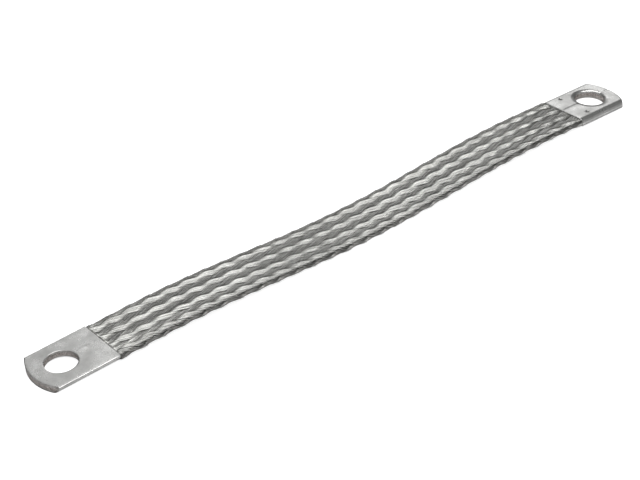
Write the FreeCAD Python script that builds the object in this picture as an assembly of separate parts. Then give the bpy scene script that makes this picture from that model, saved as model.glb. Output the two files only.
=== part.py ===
# Flat grounding strap: a woven wire braid with a folded sheet ferrule pressed on each end.
# It lies on a flat surface at z = 0, along X, with the origin under the middle of its box.
import FreeCAD, Part
import math
import os

Vector = FreeCAD.Vector

# Strap as it lies
overall_length = 200.0
end_pitch = 3.0  # degrees by which each ferrule slopes down to its tip
end_yaw = 1.8  # degrees by which the bow in plan turns each ferrule aside
hump_height = 2.95  # height of the braid's middle layer on its two humps
hump_place = 46.0  # distance of each hump from the middle of the strap

# Ferrule
ferrule_length = 19.9  # from the mouth to the top of the tip's arc
ferrule_width = 15.7
ferrule_thickness = 2.1
sheet = 0.6
tip_bulge = 2.5  # rise of the tip's arc over the width
plain_corner = 0.3  # outer radius beside the plain face
shoulder = 1.7  # outer radius beside the seam face
hole_diameter = 8.5
hole_from_mouth = 11.85
hole_roll = 0.5  # width of the rolled rim on the seam face
roll_bevels = 4  # narrow bevels that make up the roll
seam_gap = 0.15
seam_bevel = 0.2  # depth of the groove along the seam
flap_corner = 0.9  # radius of each flap's corner where the seam meets the mouth
stake_from_mouth = 5.0
stake_from_seam = 5.1
stake_diameter = 1.2
stake_depth = 0.3

# Braid
braid_width = 15.6
braid_thickness = 2.15
edge_thickness = 1.8  # thickness along the folded sides
strand_width = 1.93  # width of one flat bundle of wires
float_repeat = 5.85  # distance along the strap from one float to the next in its column
row_lean = 0.24  # how far a row of floats runs ahead along the strap for each unit across it
row_shift = 2.7  # how far the rows sit from the middle of the strap
float_relief = 0.35  # height of a float's back over the crossings around it
float_end_slope = 1.3  # length of the slope at each end of a float
float_side_slope = 0.4  # width of the slope along each side of a float
end_lift = 0.8  # share of the relief at the ends of a float's back
taper_length = 3.0  # stretch in which the braid thins towards a mouth
mouth_step = 0.06  # how far the braid stands over its pressed end at a mouth
mouth_relief = 0.06  # relief that is left at a mouth
press_clearance = 0.03  # room between the braid's pressed end and the ferrule
least_edge = 1e-6  # shorter edges are left out
rim_decimals = 9  # places round a mouth that agree to this many decimals are one

# Values worked out from the sizes above
pitch = math.radians(end_pitch)
yaw = math.radians(end_yaw)
half_span = overall_length/2 - ferrule_length*math.cos(pitch)*math.cos(yaw)
bow = half_span*math.tan(yaw)/2
pressed_thickness = ferrule_thickness - 2*(sheet + press_clearance)
pressed_width = ferrule_width - 2*(sheet + press_clearance)
through = 2*ferrule_thickness  # reach of a cut that passes right through a ferrule

# Middle line of the strap: an even curve in height and a parabola in plan
mouth_height = ferrule_length*math.sin(pitch) + ferrule_thickness/2*math.cos(pitch)
trough_height = braid_thickness/2
rise_to_mouth = mouth_height - trough_height
rise_to_hump = hump_height - trough_height
end_slope = -half_span*math.tan(pitch)
hump = hump_place/half_span
sixth_share = hump**2*(1 - hump**2)**2
sixth_power = (rise_to_hump - hump**2*(2*rise_to_mouth - end_slope/2)
               + hump**4*(rise_to_mouth - end_slope/2))/sixth_share
fourth_power = end_slope/2 - rise_to_mouth - 2*sixth_power
second_power = rise_to_mouth - fourth_power - sixth_power
tip_corner_aside = (ferrule_length - tip_bulge)*math.sin(yaw) + ferrule_width/2*math.cos(yaw)
plan_shift = (bow + braid_width/2 - tip_corner_aside)/2


def middle_line(x):
    """Point, direction, sideways direction and upright direction of the strap at a distance along X."""
    u = x/half_span
    height = trough_height + second_power*u**2 + fourth_power*u**4 + sixth_power*u**6
    climb = (2*second_power*u + 4*fourth_power*u**3 + 6*sixth_power*u**5)/half_span
    aside = plan_shift - bow*(1 - u**2)
    turn = 2*bow*u/half_span
    along = Vector(1, turn, climb).normalize()
    across = Vector(-turn, 1, 0).normalize()
    return Vector(x, aside, height), along, across, along.cross(across)


def at_mouth(side):
    """Placement of a ferrule's own frame: X from its mouth to its tip, Z towards its seam face."""
    point, along, across, upright = middle_line(side*half_span)
    x = along*side
    z = upright*side
    rows = [[x[i], across[i], z[i], point[i]] for i in range(3)]
    return FreeCAD.Placement(FreeCAD.Matrix(*rows[0], *rows[1], *rows[2]))


def folded_outline(x, inset, lower_radius):
    """Ferrule's cross-section drawn in by an inset, with a shoulder on each side of its seam face."""
    half_width = ferrule_width/2 - inset
    half_height = ferrule_thickness/2 - inset
    upper = min(max(shoulder - inset, 0), 2*half_height)
    lower = min(lower_radius, 2*half_height - upper)
    edges = []
    ends = []
    for y_side, z_side, radius in ((1, -1, lower), (1, 1, upper), (-1, 1, upper), (-1, -1, lower)):
        corner = Vector(x, y_side*half_width, z_side*half_height)
        centre = corner - Vector(0, y_side*radius, z_side*radius)
        halfway = centre + (corner - centre)*math.sqrt(0.5)
        on_side = Vector(x, corner.y, centre.z)
        on_face = Vector(x, centre.y, corner.z)
        turn = (on_face, on_side) if y_side*z_side < 0 else (on_side, on_face)
        ends.append(turn)
        if radius > 0:
            edges.append(Part.Arc(turn[0], halfway, turn[1]).toShape())
    for this, following in zip(ends, ends[1:] + ends[:1]):
        if this[1].distanceToPoint(following[0]) > least_edge:
            edges.append(Part.makeLine(this[1], following[0]))
    return Part.Face(Part.Wire(Part.__sortEdges__(edges)))


def tip_trim():
    """Solid that keeps everything from before the mouth up to the tip's arc."""
    shoulder_x = ferrule_length - tip_bulge
    start_x = -ferrule_length
    half_width = ferrule_width/2
    wide = ferrule_width
    outline = [Vector(shoulder_x, half_width, 0), Vector(shoulder_x, wide, 0), Vector(start_x, wide, 0),
               Vector(start_x, -wide, 0), Vector(shoulder_x, -wide, 0), Vector(shoulder_x, -half_width, 0)]
    arc = Part.Arc(outline[-1], Vector(ferrule_length, 0, 0), outline[0])
    face = Part.Face(Part.Wire([*Part.makePolygon(outline).Edges, arc.toShape()]))
    face.translate(Vector(0, 0, -through/2))
    return face.extrude(Vector(0, 0, through))


def hole_cutter():
    """Punched hole: straight wall, with a rim that rolls in from the seam face in narrow bevels."""
    radius = hole_diameter/2
    roll = min(hole_roll, sheet)
    top = ferrule_thickness/2
    turns = [math.pi/2*step/roll_bevels for step in range(roll_bevels + 1)]
    rim = [Vector(radius + roll*(1 - math.cos(turn)), 0, top - roll*(1 - math.sin(turn))) for turn in turns]
    above = rim[-1] + Vector(0, 0, through)
    profile = [*rim, above, Vector(0, 0, above.z), Vector(0, 0, -through), Vector(radius, 0, -through), rim[0]]
    cutter = Part.Face(Part.makePolygon(profile)).revolve(Vector(0, 0, 0), Vector(0, 0, 1), 360)
    cutter.translate(Vector(hole_from_mouth, 0, 0))
    return cutter


def seam_cutter():
    """Gap between the two flaps, wider where their corners round off at the mouth, with a groove on top."""
    half_gap = seam_gap/2
    swing = flap_corner*(1 - math.sqrt(0.5))
    end = 2*ferrule_length
    upper = [Vector(end, half_gap, 0), Vector(flap_corner, half_gap, 0)]
    rounded = Vector(0, half_gap + flap_corner, 0)
    halfway = Vector(swing, half_gap + swing, 0)
    flip = lambda point: Vector(point.x, -point.y, point.z)
    edges = [Part.makeLine(*upper),
             Part.Arc(upper[1], halfway, rounded).toShape(),
             Part.makeLine(rounded, flip(rounded)),
             Part.Arc(flip(rounded), flip(halfway), flip(upper[1])).toShape(),
             Part.makeLine(flip(upper[1]), flip(upper[0])),
             Part.makeLine(flip(upper[0]), upper[0])]
    gap = Part.Face(Part.Wire(edges)).extrude(Vector(0, 0, through))
    top = ferrule_thickness/2
    half_groove = half_gap + seam_bevel
    bottom = top - seam_bevel
    profile = [Vector(-end, -half_groove, top), Vector(-end, half_groove, top),
               Vector(-end, half_gap, bottom), Vector(-end, -half_gap, bottom)]
    groove = Part.Face(Part.makePolygon([*profile, profile[0]])).extrude(Vector(2*end, 0, 0))
    return gap.fuse(groove)


def stake_cutters():
    """Pointed marks of the two punches that stake the flaps to the braid."""
    bottom = ferrule_thickness/2 - stake_depth
    points = [Vector(stake_from_mouth, side*stake_from_seam, bottom) for side in (-1, 1)]
    return [Part.makeCone(0, stake_diameter, 2*stake_depth, point) for point in points]


def ferrule():
    """Sheet folded round the braid's end, with the seam in the middle of its upper face."""
    run = Vector(ferrule_length, 0, 0)
    outside = folded_outline(press_clearance, 0, plain_corner).extrude(run)
    inside = folded_outline(press_clearance, sheet, 0).extrude(run)
    folded = outside.cut(inside).common(tip_trim())
    return folded.cut([seam_cutter(), hole_cutter(), *stake_cutters()])


def pressed_end():
    """Braid's end as it is pressed into a plate inside a ferrule, cut and punched together with it."""
    run = Vector(ferrule_length, 0, 0)
    pressed = folded_outline(0, sheet + press_clearance, shoulder - sheet).extrude(run)
    return pressed.common(tip_trim()).cut(hole_cutter())


def section_point(share, x, lift):
    """Place on the braid's section, by its share of the way round from the middle of the top."""
    opened = min((half_span - abs(x))/taper_length, 1)
    opened = opened*opened*(3 - 2*opened)
    pressed = pressed_thickness/2 + mouth_step
    folded = edge_thickness/2 - float_relief
    radius = pressed + (folded - pressed)*opened
    swell = (braid_thickness - edge_thickness)/2*opened
    pressed_half = pressed_width/2 + mouth_step
    free_half = braid_width/2 - float_relief
    flat = pressed_half + (free_half - pressed_half)*opened - radius
    out = radius + lift*(mouth_relief + (float_relief - mouth_relief)*opened)
    quarter = flat + math.pi*radius/2
    distance = (share % 1)*4*quarter
    half_turn = math.floor((distance + quarter)/(2*quarter))
    beside = distance - 2*quarter*half_turn
    facing = 1 if half_turn % 2 == 0 else -1
    angle = max(abs(beside) - flat, 0)/radius
    level = min(abs(beside), flat)
    y = level + out*math.sin(angle)
    z = swell*(1 - (level/flat)**2) + out*math.cos(angle)
    return Vector(0, math.copysign(y, beside)*facing, z*facing)


def woven_point(share, x, lift):
    """Place of a point of the weave on the strap."""
    point, along, across, upright = middle_line(x)
    offset = section_point(share, x, lift)
    return point + across*offset.y + upright*offset.z


def kept_span(corners):
    """Triangle cut off at both mouths: corners are (share of the way round, x, lift)."""
    for side in (-1, 1):
        kept = []
        for this, following in zip(corners, corners[1:] + corners[:1]):
            room = half_span - side*this[1]
            next_room = half_span - side*following[1]
            if room >= 0:
                kept.append(this)
            if room*next_room < 0:
                low, high = sorted((this, following))
                part = (side*half_span - low[1])/(high[1] - low[1])
                share = low[0] + part*(high[0] - low[0])
                lift = low[2] + part*(high[2] - low[2])
                kept.append((share, side*half_span, lift))
        corners = kept
    return corners


def across_share(share):
    """Distance across the strap from its middle line, as a share of the way round."""
    return 1/4 - abs((share + 1/4) % 1 - 1/2)


def float_facets(column, x, slant, strand_share):
    """Facets of one float: a flat back on a bundle that slopes down to its neighbours all round."""
    step = float_repeat/2
    half_length = math.hypot(strand_width/2, step)
    half_width = strand_width*step/(2*half_length)
    back_length = 1 - float_end_slope/half_length
    back_width = 1 - float_side_slope/half_width

    def corner(lengthwise, sidewise, lift):
        share = (column - 1/2 + slant*(lengthwise/2 + sidewise/4))*strand_share
        ahead = row_lean*strand_width*across_share(share)/strand_share
        return (share, x + step*(lengthwise - sidewise/2) + ahead, lift)

    stations = [-1, 0, 1]
    rim = {side: [corner(s, side, 0) for s in stations] for side in (-1, 1)}
    lifts = [end_lift, 1, end_lift]
    back = {side: [corner(s*back_length, side*back_width, lift) for s, lift in zip(stations, lifts)]
            for side in (-1, 1)}
    quads = [(rim[-1][0], rim[1][0], back[1][0], back[-1][0]),
             (rim[1][2], rim[-1][2], back[-1][2], back[1][2])]
    for i in (0, 1):
        quads.append((rim[1][i], rim[1][i + 1], back[1][i + 1], back[1][i]))
        quads.append((back[1][i], back[1][i + 1], back[-1][i + 1], back[-1][i]))
        quads.append((back[-1][i], back[-1][i + 1], rim[-1][i + 1], rim[-1][i]))
    return [facet for a, b, c, d in quads for facet in ([a, b, c], [a, c, d])]


def woven_facets():
    """Facets of the whole weave: columns of floats that slant one way and the other by turns."""
    folded = edge_thickness/2 - float_relief
    perimeter = 4*(braid_width/2 - float_relief - folded) + 2*math.pi*folded
    columns = 2*round(perimeter/(2*strand_width))
    rows = math.ceil(half_span/float_repeat) + 2
    facets = []
    for column in range(columns):
        slant = 1 if column % 2 == 0 else -1
        for row in range(-rows, rows + 1):
            x = (row + slant/4)*float_repeat + row_shift
            facets += [kept_span(facet) for facet in float_facets(column, x, slant, 1/columns)]
    return [facet for facet in facets if len(facet) > 2]


def skin(facets):
    """Flat triangles of the weave, in place on the strap."""
    faces = []
    for facet in facets:
        points = [woven_point(*corner) for corner in facet]
        for second, third in zip(points[1:], points[2:]):
            edges = [second - points[0], third - points[0], third - second]
            if min(edge.Length for edge in edges) > least_edge:
                faces.append(Part.Face(Part.makePolygon([points[0], second, third, points[0]])))
    return faces


def mouth_rim(facets, side):
    """Closed outline of the weave where it is cut off at a mouth."""
    rim = {round(corner[0], rim_decimals) % 1: corner
           for facet in facets for corner in facet if corner[1] == side*half_span}
    points = [woven_point(*rim[share]) for share in sorted(rim)]
    return Part.makePolygon([*points, points[0]])


def braid():
    """Woven skin, closed at each mouth, where the pressed ends go on from it."""
    facets = woven_facets()
    ends = [Part.Face(mouth_rim(facets, side)) for side in (-1, 1)]
    shell = Part.Compound(skin(facets) + ends)
    shell.sewShape()
    solid = Part.Solid(shell)
    if solid.Volume < 0:
        solid.reverse()
    return solid


def placed(piece, side):
    """Piece on one end of the strap: the right end has its seam up, the left one is turned over."""
    piece.Placement = at_mouth(side)
    return piece


os.makedirs("parts", exist_ok=True)
braid().exportStep("parts/braid.step")
for end, side in (("left", -1), ("right", 1)):
    placed(ferrule().Solids[0], side).exportStep(f"parts/{end}_ferrule.step")
    placed(pressed_end().Solids[0], side).exportStep(f"parts/{end}_pressed_end.step")
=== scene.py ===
# Flat grounding strap of braided tinned wire with a pressed sheet ferrule on each end.
import bpy
import math
import numpy as np
from mathutils import Matrix, Vector


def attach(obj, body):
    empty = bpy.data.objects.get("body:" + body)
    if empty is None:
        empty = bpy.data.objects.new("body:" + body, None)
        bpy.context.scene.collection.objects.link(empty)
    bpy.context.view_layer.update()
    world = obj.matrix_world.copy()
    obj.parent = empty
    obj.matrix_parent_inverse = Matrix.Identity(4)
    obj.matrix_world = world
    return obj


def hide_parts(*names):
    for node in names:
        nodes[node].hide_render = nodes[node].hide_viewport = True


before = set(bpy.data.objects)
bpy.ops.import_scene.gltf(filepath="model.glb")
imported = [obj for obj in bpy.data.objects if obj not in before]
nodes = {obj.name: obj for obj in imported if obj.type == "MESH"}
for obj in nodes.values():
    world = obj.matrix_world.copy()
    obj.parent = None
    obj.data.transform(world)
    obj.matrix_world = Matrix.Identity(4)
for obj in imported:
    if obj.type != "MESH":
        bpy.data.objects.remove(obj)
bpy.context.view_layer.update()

# Wire bundles: a flattened tube braided from 32 flat bundles of fine tinned copper wires. Each bundle
# passes over two of those that cross it, then under two, so that its floats stand in columns along the
# strap. The tube is pressed thin where it goes into the mouths of the ferrules that hold its ends.
mm = 0.001
overall_length = 200.0
end_pitch = math.radians(3.0)
end_yaw = math.radians(1.8)
hump_height = 2.95
hump_place = 46.0
ferrule_length = 19.9
ferrule_width = 15.7
ferrule_thickness = 2.1
tip_bulge = 2.5
braid_width = 15.6
braid_thickness = 2.15
half_span = overall_length/2 - ferrule_length*math.cos(end_pitch)*math.cos(end_yaw)
bow = half_span*math.tan(end_yaw)/2
mouth_height = ferrule_length*math.sin(end_pitch) + ferrule_thickness/2*math.cos(end_pitch)
mouth_rise = mouth_height - braid_thickness/2
hump_rise = hump_height - braid_thickness/2
end_slope = -half_span*math.tan(end_pitch)
hump = (hump_place/half_span)**2
hump_share = hump_rise - hump*(2*mouth_rise - end_slope/2) + hump**2*(mouth_rise - end_slope/2)
sixth_power = hump_share/(hump*(1 - hump)**2)
fourth_power = end_slope/2 - mouth_rise - 2*sixth_power
second_power = mouth_rise - fourth_power - sixth_power
tip_corner_aside = (ferrule_length - tip_bulge)*math.sin(end_yaw) + ferrule_width/2*math.cos(end_yaw)
plan_shift = (bow + braid_width/2 - tip_corner_aside)/2


def unit(vectors):
    """Vectors of length one."""
    return vectors/np.linalg.norm(vectors, axis=-1, keepdims=True)


def middle_line(x):
    """Points of the strap's middle layer, with the directions across it and up from it."""
    u = x/half_span
    height = braid_thickness/2 + second_power*u**2 + fourth_power*u**4 + sixth_power*u**6
    climb = (2*second_power*u + 4*fourth_power*u**3 + 6*sixth_power*u**5)/half_span
    turn = 2*bow*u/half_span
    along = unit(np.stack([np.ones_like(x), turn, climb], -1))
    across = unit(np.stack([-turn, np.ones_like(x), np.zeros_like(x)], -1))
    point = np.stack([x, plan_shift - bow*(1 - u**2), height], -1)
    return point, across, np.cross(along, across)


columns = 16
float_repeat = 5.85
row_shift = 2.7
float_relief = 0.35
edge_thickness = 1.8
edge_roundness = 0.2
edge_scallop = 0.2
near_column_drift = 0.45
far_column_drift = 0.15
taper_length = 0.9
taper_past_mouth = 0.5
pressed_half_width = 7.25
pressed_half_height = 0.5
pressed_lift = 0.6


def on_tube(around, x, lift):
    """Points at a height over the flattened tube's wall, and the wall's outward direction there."""
    opened = np.clip((half_span + taper_past_mouth - np.abs(x))/taper_length, 0, 1)
    opened = opened**2*(3 - 2*opened)
    half_width = pressed_half_width + (braid_width/2 - float_relief - pressed_half_width)*opened
    half_height = pressed_half_height + (edge_thickness/2 - float_relief - pressed_half_height)*opened
    flat = half_width - edge_roundness
    side = half_height - edge_roundness
    corner = edge_roundness*math.pi/2
    crown = (braid_thickness - edge_thickness)/2*opened
    quarter = flat + corner + side
    distance = (around/columns % 1)*4*quarter
    half_turn = np.floor((distance + quarter)/(2*quarter))
    beside = distance - 2*quarter*half_turn
    facing = np.where(half_turn % 2 == 0, 1.0, -1.0)
    share = np.abs(beside)/quarter
    drift = np.where(beside*facing < 0, near_column_drift, far_column_drift)
    beside += facing*drift*np.where(share > 0.5, np.sin(2*math.pi*share)**2, 0)
    sideways = np.sign(beside)*facing
    inner = np.minimum(np.abs(beside), flat)
    angle = np.clip(np.abs(beside) - flat, 0, corner)/edge_roundness
    drop = np.clip(np.abs(beside) - flat - corner, 0, side)
    scallop = edge_scallop*np.cos(2*math.pi*(x - row_shift)/float_repeat)*np.sin(angle)*opened
    out = edge_roundness + lift*(pressed_lift + (1 - pressed_lift)*opened) + scallop
    raised = facing*(side - drop + crown*(1 - (inner/flat)**2))
    point, across, upright = middle_line(x)
    outward = across*(sideways*np.sin(angle))[..., None] + upright*(facing*np.cos(angle))[..., None]
    core = across*(sideways*inner)[..., None] + upright*raised[..., None]
    return point + core + outward*out[..., None], outward


strand_width = 1.93
row_lean = 0.24
lean_steps = 2000
first_bundle = 0.75
wires_in_bundle = 9
wire_waves = 4
wire_step = 0.75
taper_stations = 6
reach_into_mouth = 0.6
mouth_shade = 0.25
over_lift = 0.245
under_lift = -0.055
float_fullness = 1.0
float_skew = 0.25
edge_droop = 0.08
wire_wander = (0.05, 0.03)
wire_bounce = (0.02, 0.012)
wander_lengths = (8.0, 30.0)
shaded_places = (-36, -24, -14, -2, 10, 30, 46, 70)
shade_amounts = (0, 2.2, 2.2, 0, -0.35, -0.35, 0, 3.0)
shade_floor_level = 0.25


def aside(around):
    """Distance in columns from the middle of the strap, for a place round the tube."""
    turned = (around + columns/4) % columns
    return np.where(turned < columns/2, turned - columns/4, 3*columns/4 - turned)


def bundle_wires(slant, number, chance):
    """Paths of one bundle's wires, with the outward direction and the level that each wire shows in the
    weave, which sets its painted shade.
    """
    end = half_span + reach_into_mouth
    steady = half_span - taper_length
    taper = np.linspace(steady, end, taper_stations)[1:]
    middle = np.linspace(-steady, steady, 2*math.ceil(steady/wire_step) + 1)
    x = np.concatenate([-taper[::-1], middle, taper])
    phase = chance.uniform(0, 2*math.pi, (wire_waves, wires_in_bundle, 1))
    length = chance.uniform(*wander_lengths, (wire_waves, wires_in_bundle, 1))
    waves = np.sin(2*math.pi*x/length + phase)
    wander = wire_wander[0]*waves[0] + wire_wander[1]*waves[1]
    bounce = wire_bounce[0]*waves[2] + wire_bounce[1]*waves[3]
    place = (2*np.arange(wires_in_bundle) + 1)/wires_in_bundle - 1
    steps = np.linspace(-end - float_repeat, end + float_repeat, lean_steps)
    row = np.empty((wires_in_bundle, len(x)))
    for wire, beside in enumerate(place):
        round_there = slant*steps/float_repeat - first_bundle + number + slant*beside/2
        row[wire] = np.interp(x, steps + row_shift + row_lean*strand_width*aside(round_there), steps)
    place = place[:, None] + wander
    around = slant*row/float_repeat - first_bundle + number + slant*place/2
    first_float = float_repeat*(slant*(first_bundle - number) - 0.5)
    wave = np.cos(math.pi*((row - first_float)/float_repeat + float_skew*place))
    level = np.tanh(float_fullness*wave)/math.tanh(float_fullness)
    lift = (over_lift + under_lift)/2 + (over_lift - under_lift)/2*level
    lift += bounce - edge_droop*np.abs(place)**3*(1 + level)/2
    points, outward = on_tube(around, np.broadcast_to(x, around.shape), lift)
    # Painted shade: along given stretches of the strap the left-hand bundles' floats darken sooner
    # towards their ends, so only their tops stay bright.
    if slant < 0:
        extra_shade = np.interp(x, shaded_places, shade_amounts)
        level = np.maximum(1 - (1 - level)*(1 + extra_shade), np.minimum(level, shade_floor_level))
    # Wires near the mouths get the lowest level: painted shade where they go in.
    return points, outward, np.where(np.abs(x) > half_span - mouth_shade, -1, level)


def tube_quads(stations, sides):
    """Faces of a tube of rings, as four corners each."""
    ring, step = np.meshgrid(np.arange(stations - 1)*sides, np.arange(sides), indexing="ij")
    here = ring + step
    after = ring + (step + 1) % sides
    return np.stack([here, after, after + sides, here + sides], -1).reshape(-1, 4)


def placed(name, data):
    """New object in the scene."""
    piece = bpy.data.objects.new(name, data)
    bpy.context.scene.collection.objects.link(piece)
    return piece


def mesh_piece(name, corners, faces, material):
    """Piece of one material, from corners in millimetres."""
    mesh = bpy.data.meshes.new(name)
    mesh.from_pydata((np.asarray(corners)*mm).tolist(), [], np.asarray(faces).tolist())
    mesh.materials.append(material)
    return placed(name, mesh)


wire_radius = 0.095
wire_sides = 6


def wire_piece(name, paths, material):
    """Round wires along paths, which carry each wire's own tone and its depth in the weave, which sets
    its painted shade.
    """
    angles = np.arange(wire_sides)[:, None]*2*math.pi/wire_sides
    corners, faces, tones, shade_depths = [], [], [], []
    for points, outward, level, tone in paths:
        along = unit(np.gradient(points, axis=0))
        beside = unit(np.cross(along, outward))
        ring = beside[:, None]*np.cos(angles) + np.cross(beside, along)[:, None]*np.sin(angles)
        faces.append(tube_quads(len(points), wire_sides) + sum(map(len, corners)))
        corners.append((points[:, None] + wire_radius*ring).reshape(-1, 3))
        tones.append(np.full(len(points)*wire_sides, tone))
        shade_depths.append(np.repeat((1 - level)/2, wire_sides))
    piece = mesh_piece(name, np.concatenate(corners), np.concatenate(faces), material)
    piece.data.shade_smooth()
    for label, values in (("wire_tone", tones), ("wire_depth_shade", shade_depths)):
        carried = piece.data.attributes.new(label, "FLOAT", "POINT")
        carried.data.foreach_set("value", np.concatenate(values).astype(np.float32))
    return piece


def feed(tree, socket, value):
    """Source linked to a node's input, or a number set on it."""
    if isinstance(value, bpy.types.NodeSocket):
        tree.links.new(value, socket)
    else:
        socket.default_value = value


def add(tree, kind, **inputs):
    """New node with its inputs fed by name."""
    node = tree.nodes.new(kind)
    for name, value in inputs.items():
        feed(tree, node.inputs[name.replace("_", " ")], value)
    return node


def figured(tree, how, *terms):
    """Result of one sum on sources and numbers."""
    node = tree.nodes.new("ShaderNodeMath")
    node.operation = how
    for socket, term in zip(node.inputs, terms):
        feed(tree, socket, term)
    return node.outputs["Value"]


def mixed(tree, how, first, second, share=1.0):
    """Colour of two sources that are mixed in one way."""
    node = tree.nodes.new("ShaderNodeMix")
    node.data_type = "RGBA"
    node.blend_type = how
    for name, value in (("Factor", share), ("A", first), ("B", second)):
        feed(tree, node.inputs[name], value)
    return node.outputs["Result"]


def ramp_of(tree, source, low, low_colour, high, high_colour):
    """Colour that goes from one to another between two values of a source."""
    node = add(tree, "ShaderNodeValToRGB", Fac=source)
    for stop, place, colour in zip(node.color_ramp.elements, (low, high), (low_colour, high_colour)):
        stop.position = place
        stop.color = (*colour, 1)
    return node.outputs["Color"]


def carried_value(tree, name):
    """Value that the mesh carries."""
    node = tree.nodes.new("ShaderNodeAttribute")
    node.attribute_name = name
    return node.outputs["Fac"]


patch_low = 0.34
patch_high = 0.66
tin_plate = bpy.data.node_groups.new("tin_plate", "ShaderNodeTree")
for label in ("Bright Tin", "Dull Tin"):
    tin_plate.interface.new_socket(name=label, in_out="INPUT", socket_type="NodeSocketColor")
for label in ("Patch Scale", "Grain Scale", "Smooth", "Rough"):
    tin_plate.interface.new_socket(name=label, in_out="INPUT", socket_type="NodeSocketFloat")
tin_plate.interface.new_socket(name="Color", in_out="OUTPUT", socket_type="NodeSocketColor")
for label in ("Roughness", "Grain", "Swell"):
    tin_plate.interface.new_socket(name=label, in_out="OUTPUT", socket_type="NodeSocketFloat")
given = tin_plate.nodes.new("NodeGroupInput").outputs
result = tin_plate.nodes.new("NodeGroupOutput").inputs
spot = tin_plate.nodes.new("ShaderNodeTexCoord").outputs["Object"]
swell = add(tin_plate, "ShaderNodeTexNoise", Vector=spot, Scale=given["Patch Scale"],
            Detail=4.0, Roughness=0.6)
grain = add(tin_plate, "ShaderNodeTexNoise", Vector=spot, Scale=given["Grain Scale"],
            Detail=2.0, Roughness=0.5)
patch = add(tin_plate, "ShaderNodeMapRange", Value=swell.outputs["Fac"],
            From_Min=patch_low, From_Max=patch_high)
tint = mixed(tin_plate, "MIX", given["Bright Tin"], given["Dull Tin"], patch.outputs["Result"])
wear = figured(tin_plate, "MULTIPLY", patch.outputs["Result"], grain.outputs["Fac"])
sheen = add(tin_plate, "ShaderNodeMapRange", Value=wear, To_Min=given["Smooth"], To_Max=given["Rough"])
for label, source in (("Color", tint), ("Roughness", sheen.outputs["Result"]),
                      ("Grain", grain.outputs["Fac"]), ("Swell", swell.outputs["Fac"])):
    feed(tin_plate, result[label], source)


def tinned(name, bright, dull, patch_scale, grain_scale, smooth, rough):
    """Metal material with the tin plate's roughness, its nodes and shader, and what the plate gives."""
    material = bpy.data.materials.new(name)
    material.use_nodes = True
    tree = material.node_tree
    shader = tree.nodes["Principled BSDF"].inputs
    shader["Metallic"].default_value = 1.0
    plate = tree.nodes.new("ShaderNodeGroup")
    plate.node_tree = tin_plate
    for label, value in (("Bright Tin", (*bright, 1)), ("Dull Tin", (*dull, 1)),
                         ("Patch Scale", patch_scale), ("Grain Scale", grain_scale),
                         ("Smooth", smooth), ("Rough", rough)):
        plate.inputs[label].default_value = value
    feed(tree, shader["Roughness"], plate.outputs["Roughness"])
    return material, tree, shader, plate.outputs


tinned_wire, tree, shader, plate = tinned(
    "tinned_wire", bright=(0.95, 0.95, 0.93), dull=(0.80, 0.80, 0.78),
    patch_scale=300.0, grain_scale=2500.0, smooth=0.18, rough=0.26)
wire_tone = ramp_of(tree, carried_value(tree, "wire_tone"), low=0.0, low_colour=(0.67, 0.67, 0.66),
                    high=1.0, high_colour=(0.94, 0.94, 0.93))
# Painted shade: wires darken where they lie deeper in the weave, under the crossing bundles and at the
# mouths.
wire_shade = ramp_of(tree, carried_value(tree, "wire_depth_shade"), low=0.15, low_colour=(1, 1, 1),
                     high=0.55, high_colour=(0.2, 0.2, 0.19))
wire_colour = mixed(tree, "MULTIPLY", plate["Color"], wire_tone)
feed(tree, shader["Base Color"], mixed(tree, "MULTIPLY", wire_colour, wire_shade))

wire_seed = 7
chance = np.random.default_rng(wire_seed)
for lay, slant in (("right_hand", 1), ("left_hand", -1)):
    for half in (0, 1):
        paths = []
        for number in range(half*columns//2, (half + 1)*columns//2):
            for points, outward, level in zip(*bundle_wires(slant, number, chance)):
                paths.append((points, outward, level, chance.uniform()))
        bundles = wire_piece(f"{lay}_bundles_{half + 1}", paths, tinned_wire)
        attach(bundles, "root")
        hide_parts("braid")

# Inner wires: more of the same tinned wires lie inside the tube, under the bundles that show. They are
# seen only in the small gaps between the floats, so one dark grey wall with a fine grain stands for
# them, a little way under the bundles; its dark grey is painted shade.
inner_depth = -0.17
inner_stations = 162
inner_sides = 64
x, around = np.meshgrid(np.linspace(-half_span, half_span, inner_stations),
                        np.linspace(0, columns, inner_sides, endpoint=False), indexing="ij")
points, outward = on_tube(around, x, np.full_like(x, inner_depth))


def bumped(tree, height, distance, strength, normal=None):
    """Surface direction with a height's relief on it."""
    node = add(tree, "ShaderNodeBump", Height=height, Distance=distance*mm, Strength=strength)
    if normal:
        feed(tree, node.inputs["Normal"], normal)
    return node.outputs["Normal"]


# Dark grey of the inner wires, also used in the stake pits: painted shade.
shaded_wire, tree, shader, plate = tinned(
    "shaded_wire", bright=(0.24, 0.24, 0.23), dull=(0.13, 0.13, 0.125),
    patch_scale=500.0, grain_scale=6000.0, smooth=0.4, rough=0.6)
feed(tree, shader["Base Color"], plate["Color"])
feed(tree, shader["Normal"], bumped(tree, plate["Grain"], distance=0.06, strength=0.6))
inner_faces = tube_quads(inner_stations, inner_sides)[:, ::-1]
inner_wires = mesh_piece("inner_wires", points.reshape(-1, 3), inner_faces, shaded_wire)
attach(inner_wires, "root")

# Pressed ends: each end of the braid is pressed solid between the layers of its ferrule, and punched and
# trimmed with it. Its cut wires show as a brownish layer in the wall of the hole and round the tip.
cut_wire_scale = 4500.0
pressed_wire, tree, shader, plate = tinned(
    "pressed_wire", bright=(0.85, 0.80, 0.78), dull=(0.52, 0.47, 0.45),
    patch_scale=900.0, grain_scale=5000.0, smooth=0.35, rough=0.55)
spot = tree.nodes.new("ShaderNodeTexCoord").outputs["Object"]
cut_wires = add(tree, "ShaderNodeTexVoronoi", Vector=spot, Scale=cut_wire_scale)
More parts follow.
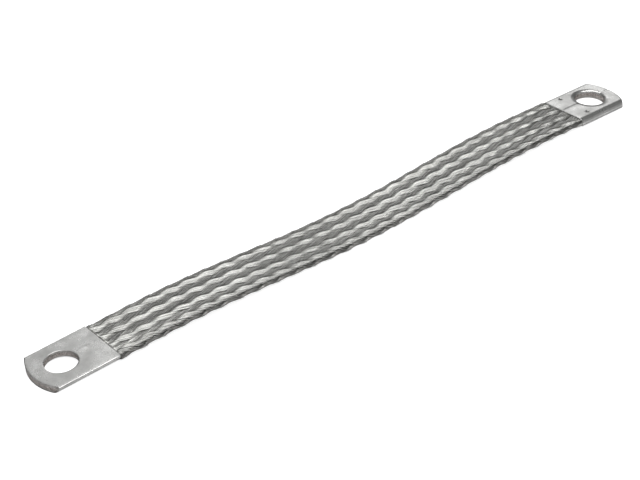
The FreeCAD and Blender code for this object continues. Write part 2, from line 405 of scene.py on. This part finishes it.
# Darker between the cut wires: painted shade in the gaps, with the same pattern giving their relief.
between = ramp_of(tree, cut_wires.outputs["Distance"], low=0.35, low_colour=(1, 1, 1),
                  high=0.75, high_colour=(0.3, 0.28, 0.26))
feed(tree, shader["Base Color"], mixed(tree, "MULTIPLY", plate["Color"], between))
feed(tree, shader["Normal"], bumped(tree, between, distance=0.03, strength=0.5))
for name in ("left_pressed_end", "right_pressed_end"):
    nodes[name].data.materials.clear()
    nodes[name].data.materials.append(pressed_wire)

# Ferrules: each one is a strip of 0.6 mm tinned copper sheet, folded round the braid, pressed flat,
# staked with two punch marks and punched with the bolt hole. The right one lies with its seam up, and
# the left one is the same piece turned over. Cut edges are darker than the plate, and the stake pits are
# painted dark as shade.
hole_from_mouth = 11.85
hole_radius = 4.25
tip_radius = (tip_bulge**2 + ferrule_width**2/4)/(2*tip_bulge)
edge_radius = 0.45
edge_samples = 8
fold_strength = 0.65
dent_from_mouth = 4.1
dent_aside = 0.8
dent_radius = 1.2
dent_depth = 0.025
stake_from_mouth = 5.0
stake_from_seam = 5.1
stake_radius = 0.6
stake_dip_radius = 1.0
stake_dip_depth = 0.15
rim_radius = 5.6
rim_depth = 0.38
near = 0.05
wall_tilt = 0.1


def ferrule_axes(side):
    """Middle of a ferrule's mouth, and the directions towards its tip, across it and up from it."""
    mouth, across, upright = (value[0] for value in middle_line(np.array([side*half_span])))
    return mouth, np.stack([side*np.cross(across, upright), across, upright])


def from_ferrule(side, places):
    """Points at places that are given from a ferrule's mouth: towards its tip, across and up."""
    mouth, axes = ferrule_axes(side)
    return mouth + np.array(places) @ axes


def dipped(tree, spot, normal, side, out, beside, face, bottom, top, depth):
    """Surface direction with a round dip in a ferrule's face, given by the radius at bottom and top."""
    away = tree.nodes.new("ShaderNodeVectorMath")
    away.operation = "DISTANCE"
    feed(tree, away.inputs[0], spot)
    feed(tree, away.inputs[1], from_ferrule(side, (out, beside, face*ferrule_thickness/2))*mm)
    dip = add(tree, "ShaderNodeMapRange", Value=away.outputs["Value"],
              From_Min=bottom*mm, From_Max=top*mm)
    dip.interpolation_type = "SMOOTHSTEP"
    return bumped(tree, dip.outputs["Result"], distance=depth, strength=1.0, normal=normal)


tinned_sheet, tree, shader, plate = tinned(
    "tinned_sheet", bright=(0.82, 0.82, 0.805), dull=(0.60, 0.60, 0.585),
    patch_scale=200.0, grain_scale=2600.0, smooth=0.25, rough=0.42)
feed(tree, shader["Base Color"], plate["Color"])
soft_edges = add(tree, "ShaderNodeBevel", Radius=edge_radius*mm)
soft_edges.samples = edge_samples
normal = bumped(tree, plate["Swell"], distance=0.06, strength=1.0, normal=soft_edges.outputs["Normal"])
spot = tree.nodes.new("ShaderNodeTexCoord").outputs["Object"]
normal = dipped(tree, spot, normal, side=-1, out=dent_from_mouth, beside=dent_aside, face=1,
                bottom=0.0, top=dent_radius, depth=dent_depth)
normal = dipped(tree, spot, normal, side=1, out=hole_from_mouth, beside=0.0, face=1,
                bottom=hole_radius, top=rim_radius, depth=rim_depth)
for side in (-1, 1):
    for beside in (-stake_from_seam, stake_from_seam):
        normal = dipped(tree, spot, normal, side=side, out=stake_from_mouth, beside=beside, face=side,
                        bottom=0.0, top=stake_dip_radius, depth=stake_dip_depth)
axes = add(tree, "ShaderNodeSeparateXYZ", Vector=spot).outputs
from_strap_middle = figured(tree, "ABSOLUTE", axes["X"])
lifted = figured(tree, "MULTIPLY_ADD", from_strap_middle, math.tan(end_pitch), axes["Z"])
from_middle = figured(tree, "SUBTRACT", lifted, (mouth_height + half_span*math.tan(end_pitch))*mm)
plain_side = figured(tree, "SIGN", figured(tree, "MULTIPLY", axes["X"], -1.0))
to_plain_face = figured(tree, "MAXIMUM", figured(tree, "MULTIPLY", from_middle, plain_side), 0.0)
fold_turn = figured(tree, "ARCSINE", figured(tree, "DIVIDE", to_plain_face, ferrule_thickness/2*mm))
fold = figured(tree, "COSINE", fold_turn)
normal = bumped(tree, fold, distance=ferrule_thickness/2, strength=fold_strength, normal=normal)
feed(tree, shader["Normal"], bumped(tree, plate["Grain"], distance=0.03, strength=0.1, normal=normal))

cut_sheet, tree, shader, plate = tinned(
    "cut_sheet", bright=(0.58, 0.565, 0.55), dull=(0.27, 0.255, 0.24),
    patch_scale=700.0, grain_scale=4000.0, smooth=0.3, rough=0.48)
feed(tree, shader["Base Color"], plate["Color"])

plate_finish, cut_finish, pit_painted_shade = range(3)
for side, name in ((-1, "left_ferrule"), (1, "right_ferrule")):
    mesh = nodes[name].data
    mesh.materials.clear()
    for material in (tinned_sheet, cut_sheet, shaded_wire):
        mesh.materials.append(material)
    centres = np.array([face.center for face in mesh.polygons])/mm
    normals = np.array([face.normal for face in mesh.polygons])
    mouth, axes = ferrule_axes(side)
    out, beside, above = axes @ (centres - mouth).T
    wall = np.abs(normals @ axes[2]) < wall_tilt
    in_hole = np.hypot(out - hole_from_mouth, beside) < hole_radius + near
    at_tip = np.hypot(out - ferrule_length + tip_radius, beside) > tip_radius - near
    at_tip &= out > ferrule_length - tip_bulge - near
    # Stake pits take the dark shaded_wire material: painted shade in the punch marks.
    in_stake = np.hypot(out - stake_from_mouth, np.abs(beside) - stake_from_seam) < stake_radius
    in_stake &= (side*above > 0) & (np.abs(above) < ferrule_thickness/2 - near)
    finish = np.where(wall & (in_hole | at_tip), cut_finish, plate_finish)
    finish = np.where(in_stake, pit_painted_shade, finish)
    mesh.polygons.foreach_set("material_index", finish.astype(np.int32))

# Seams: the two edges of the folded sheet meet along the middle of each ferrule's seam face, pressed
# together but for a hair's gap. A strip of the same tin plate closes the gap just under the face.
seam_width = 0.5
seam_depth = 0.12
tip_seam_depth = 0.03
seam_from_hole = 0.35
before_hole = hole_from_mouth - hole_radius - seam_from_hole
past_hole = hole_from_mouth + hole_radius + seam_from_hole
for side, name in ((-1, "left_seam"), (1, "right_seam")):
    corners = []
    for start, end, depth in ((near, before_hole, seam_depth),
                              (past_hole, ferrule_length - near, tip_seam_depth)):
        level = side*(ferrule_thickness/2 - depth)
        corners += [(start, -seam_width/2, level), (end, -seam_width/2, level)]
        corners += [(end, seam_width/2, level), (start, seam_width/2, level)]
    seam = mesh_piece(name, from_ferrule(side, corners), [(0, 1, 2, 3), (4, 5, 6, 7)], tinned_sheet)
    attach(seam, "root")

# Floor, light and camera: the strap lies on a plain white table under broad soft boxes. Those behind it
# are mirrored in the ferrules' flat faces, and low ones fill the other sides. The camera has the place
# fitted to the photograph, and the table and the room are pure white only where it looks at them.
floor_size = 6.0
floor_glow = 0.9
room_light = 0.135
pale_floor = bpy.data.materials.new("pale_floor")
pale_floor.use_nodes = True
tree = pale_floor.node_tree
shader = tree.nodes["Principled BSDF"].inputs
shader["Base Color"].default_value = (0.8, 0.8, 0.8, 1)
shader["Roughness"].default_value = 0.9
shader["Emission Color"].default_value = (1, 1, 1, 1)
seen = tree.nodes.new("ShaderNodeLightPath").outputs["Is Camera Ray"]
feed(tree, shader["Emission Strength"], figured(tree, "MULTIPLY", seen, floor_glow))
floor_corners = np.array([(-1, -1, 0), (1, -1, 0), (1, 1, 0), (-1, 1, 0)])*floor_size/2/mm
mesh_piece("floor", floor_corners, [(0, 1, 2, 3)], pale_floor)

room = bpy.data.worlds.new("room")
bpy.context.scene.world = room
room.use_nodes = True
tree = room.node_tree
backdrop = tree.nodes["Background"].inputs
backdrop["Color"].default_value = (1, 1, 1, 1)
seen = tree.nodes.new("ShaderNodeLightPath").outputs["Is Camera Ray"]
feed(tree, backdrop["Strength"], figured(tree, "MULTIPLY_ADD", seen, 1 - room_light, room_light))


def soft_box(name, place, aim, size, power):
    """Flat soft light that faces a point."""
    light = bpy.data.lights.new(name, "AREA")
    light.shape = "RECTANGLE"
    light.size, light.size_y = size
    light.energy = power
    lamp = placed(name, light)
    lamp.location = place
    lamp.rotation_euler = (Vector(aim) - Vector(place)).to_track_quat("-Z", "Y").to_euler()


soft_box("overhead", place=(0.03, -0.05, 0.8), aim=(0.03, -0.05, 0), size=(0.5, 1.0), power=3.4)
soft_box("right_side", place=(0.30, -0.48, 0.8), aim=(0.30, -0.48, 0), size=(0.28, 0.52), power=1.75)
soft_box("back", place=(0.79, 0.84, 0.63), aim=(0, 0, 0), size=(0.84, 0.38), power=1.1)
soft_box("back_left", place=(0.42, 0.87, 0.8), aim=(0, 0, 0), size=(0.42, 0.22), power=0.2)
soft_box("back_low", place=(0.9, 0.96, 0.24), aim=(0, 0, 0), size=(1.2, 0.34), power=0.45)
soft_box("front", place=(-0.61, -0.73, 0.55), aim=(0, 0, 0), size=(1.0, 0.35), power=0.45)
soft_box("right_low", place=(0.75, -0.75, 0.28), aim=(0, 0, 0), size=(1.0, 0.3), power=0.25)
soft_box("left", place=(-0.9, 0.55, 0.5), aim=(0, 0, 0), size=(1.0, 0.5), power=0.7)

view_azimuth = math.radians(-39.27)
view_elevation = math.radians(33.33)
view_roll = math.radians(-2.45)
view_distance = 501.2
view_target = Vector((-10.61, 0.94, 0))
focal_pixels = 1917.3
frame_width_pixels = 640
lens = bpy.data.cameras.new("camera")
lens.lens = lens.sensor_width*focal_pixels/frame_width_pixels
lens.clip_start = 0.01
camera = placed("camera", lens)
turn = Matrix.Rotation(view_azimuth, 4, "Z") @ Matrix.Rotation(math.pi/2 - view_elevation, 4, "X")
camera.matrix_world = turn @ Matrix.Rotation(view_roll, 4, "Z")
camera.location = (view_target + turn.col[2].to_3d()*view_distance)*mm
bpy.context.scene.camera = camera
bpy.context.scene.view_settings.view_transform = "Standard"
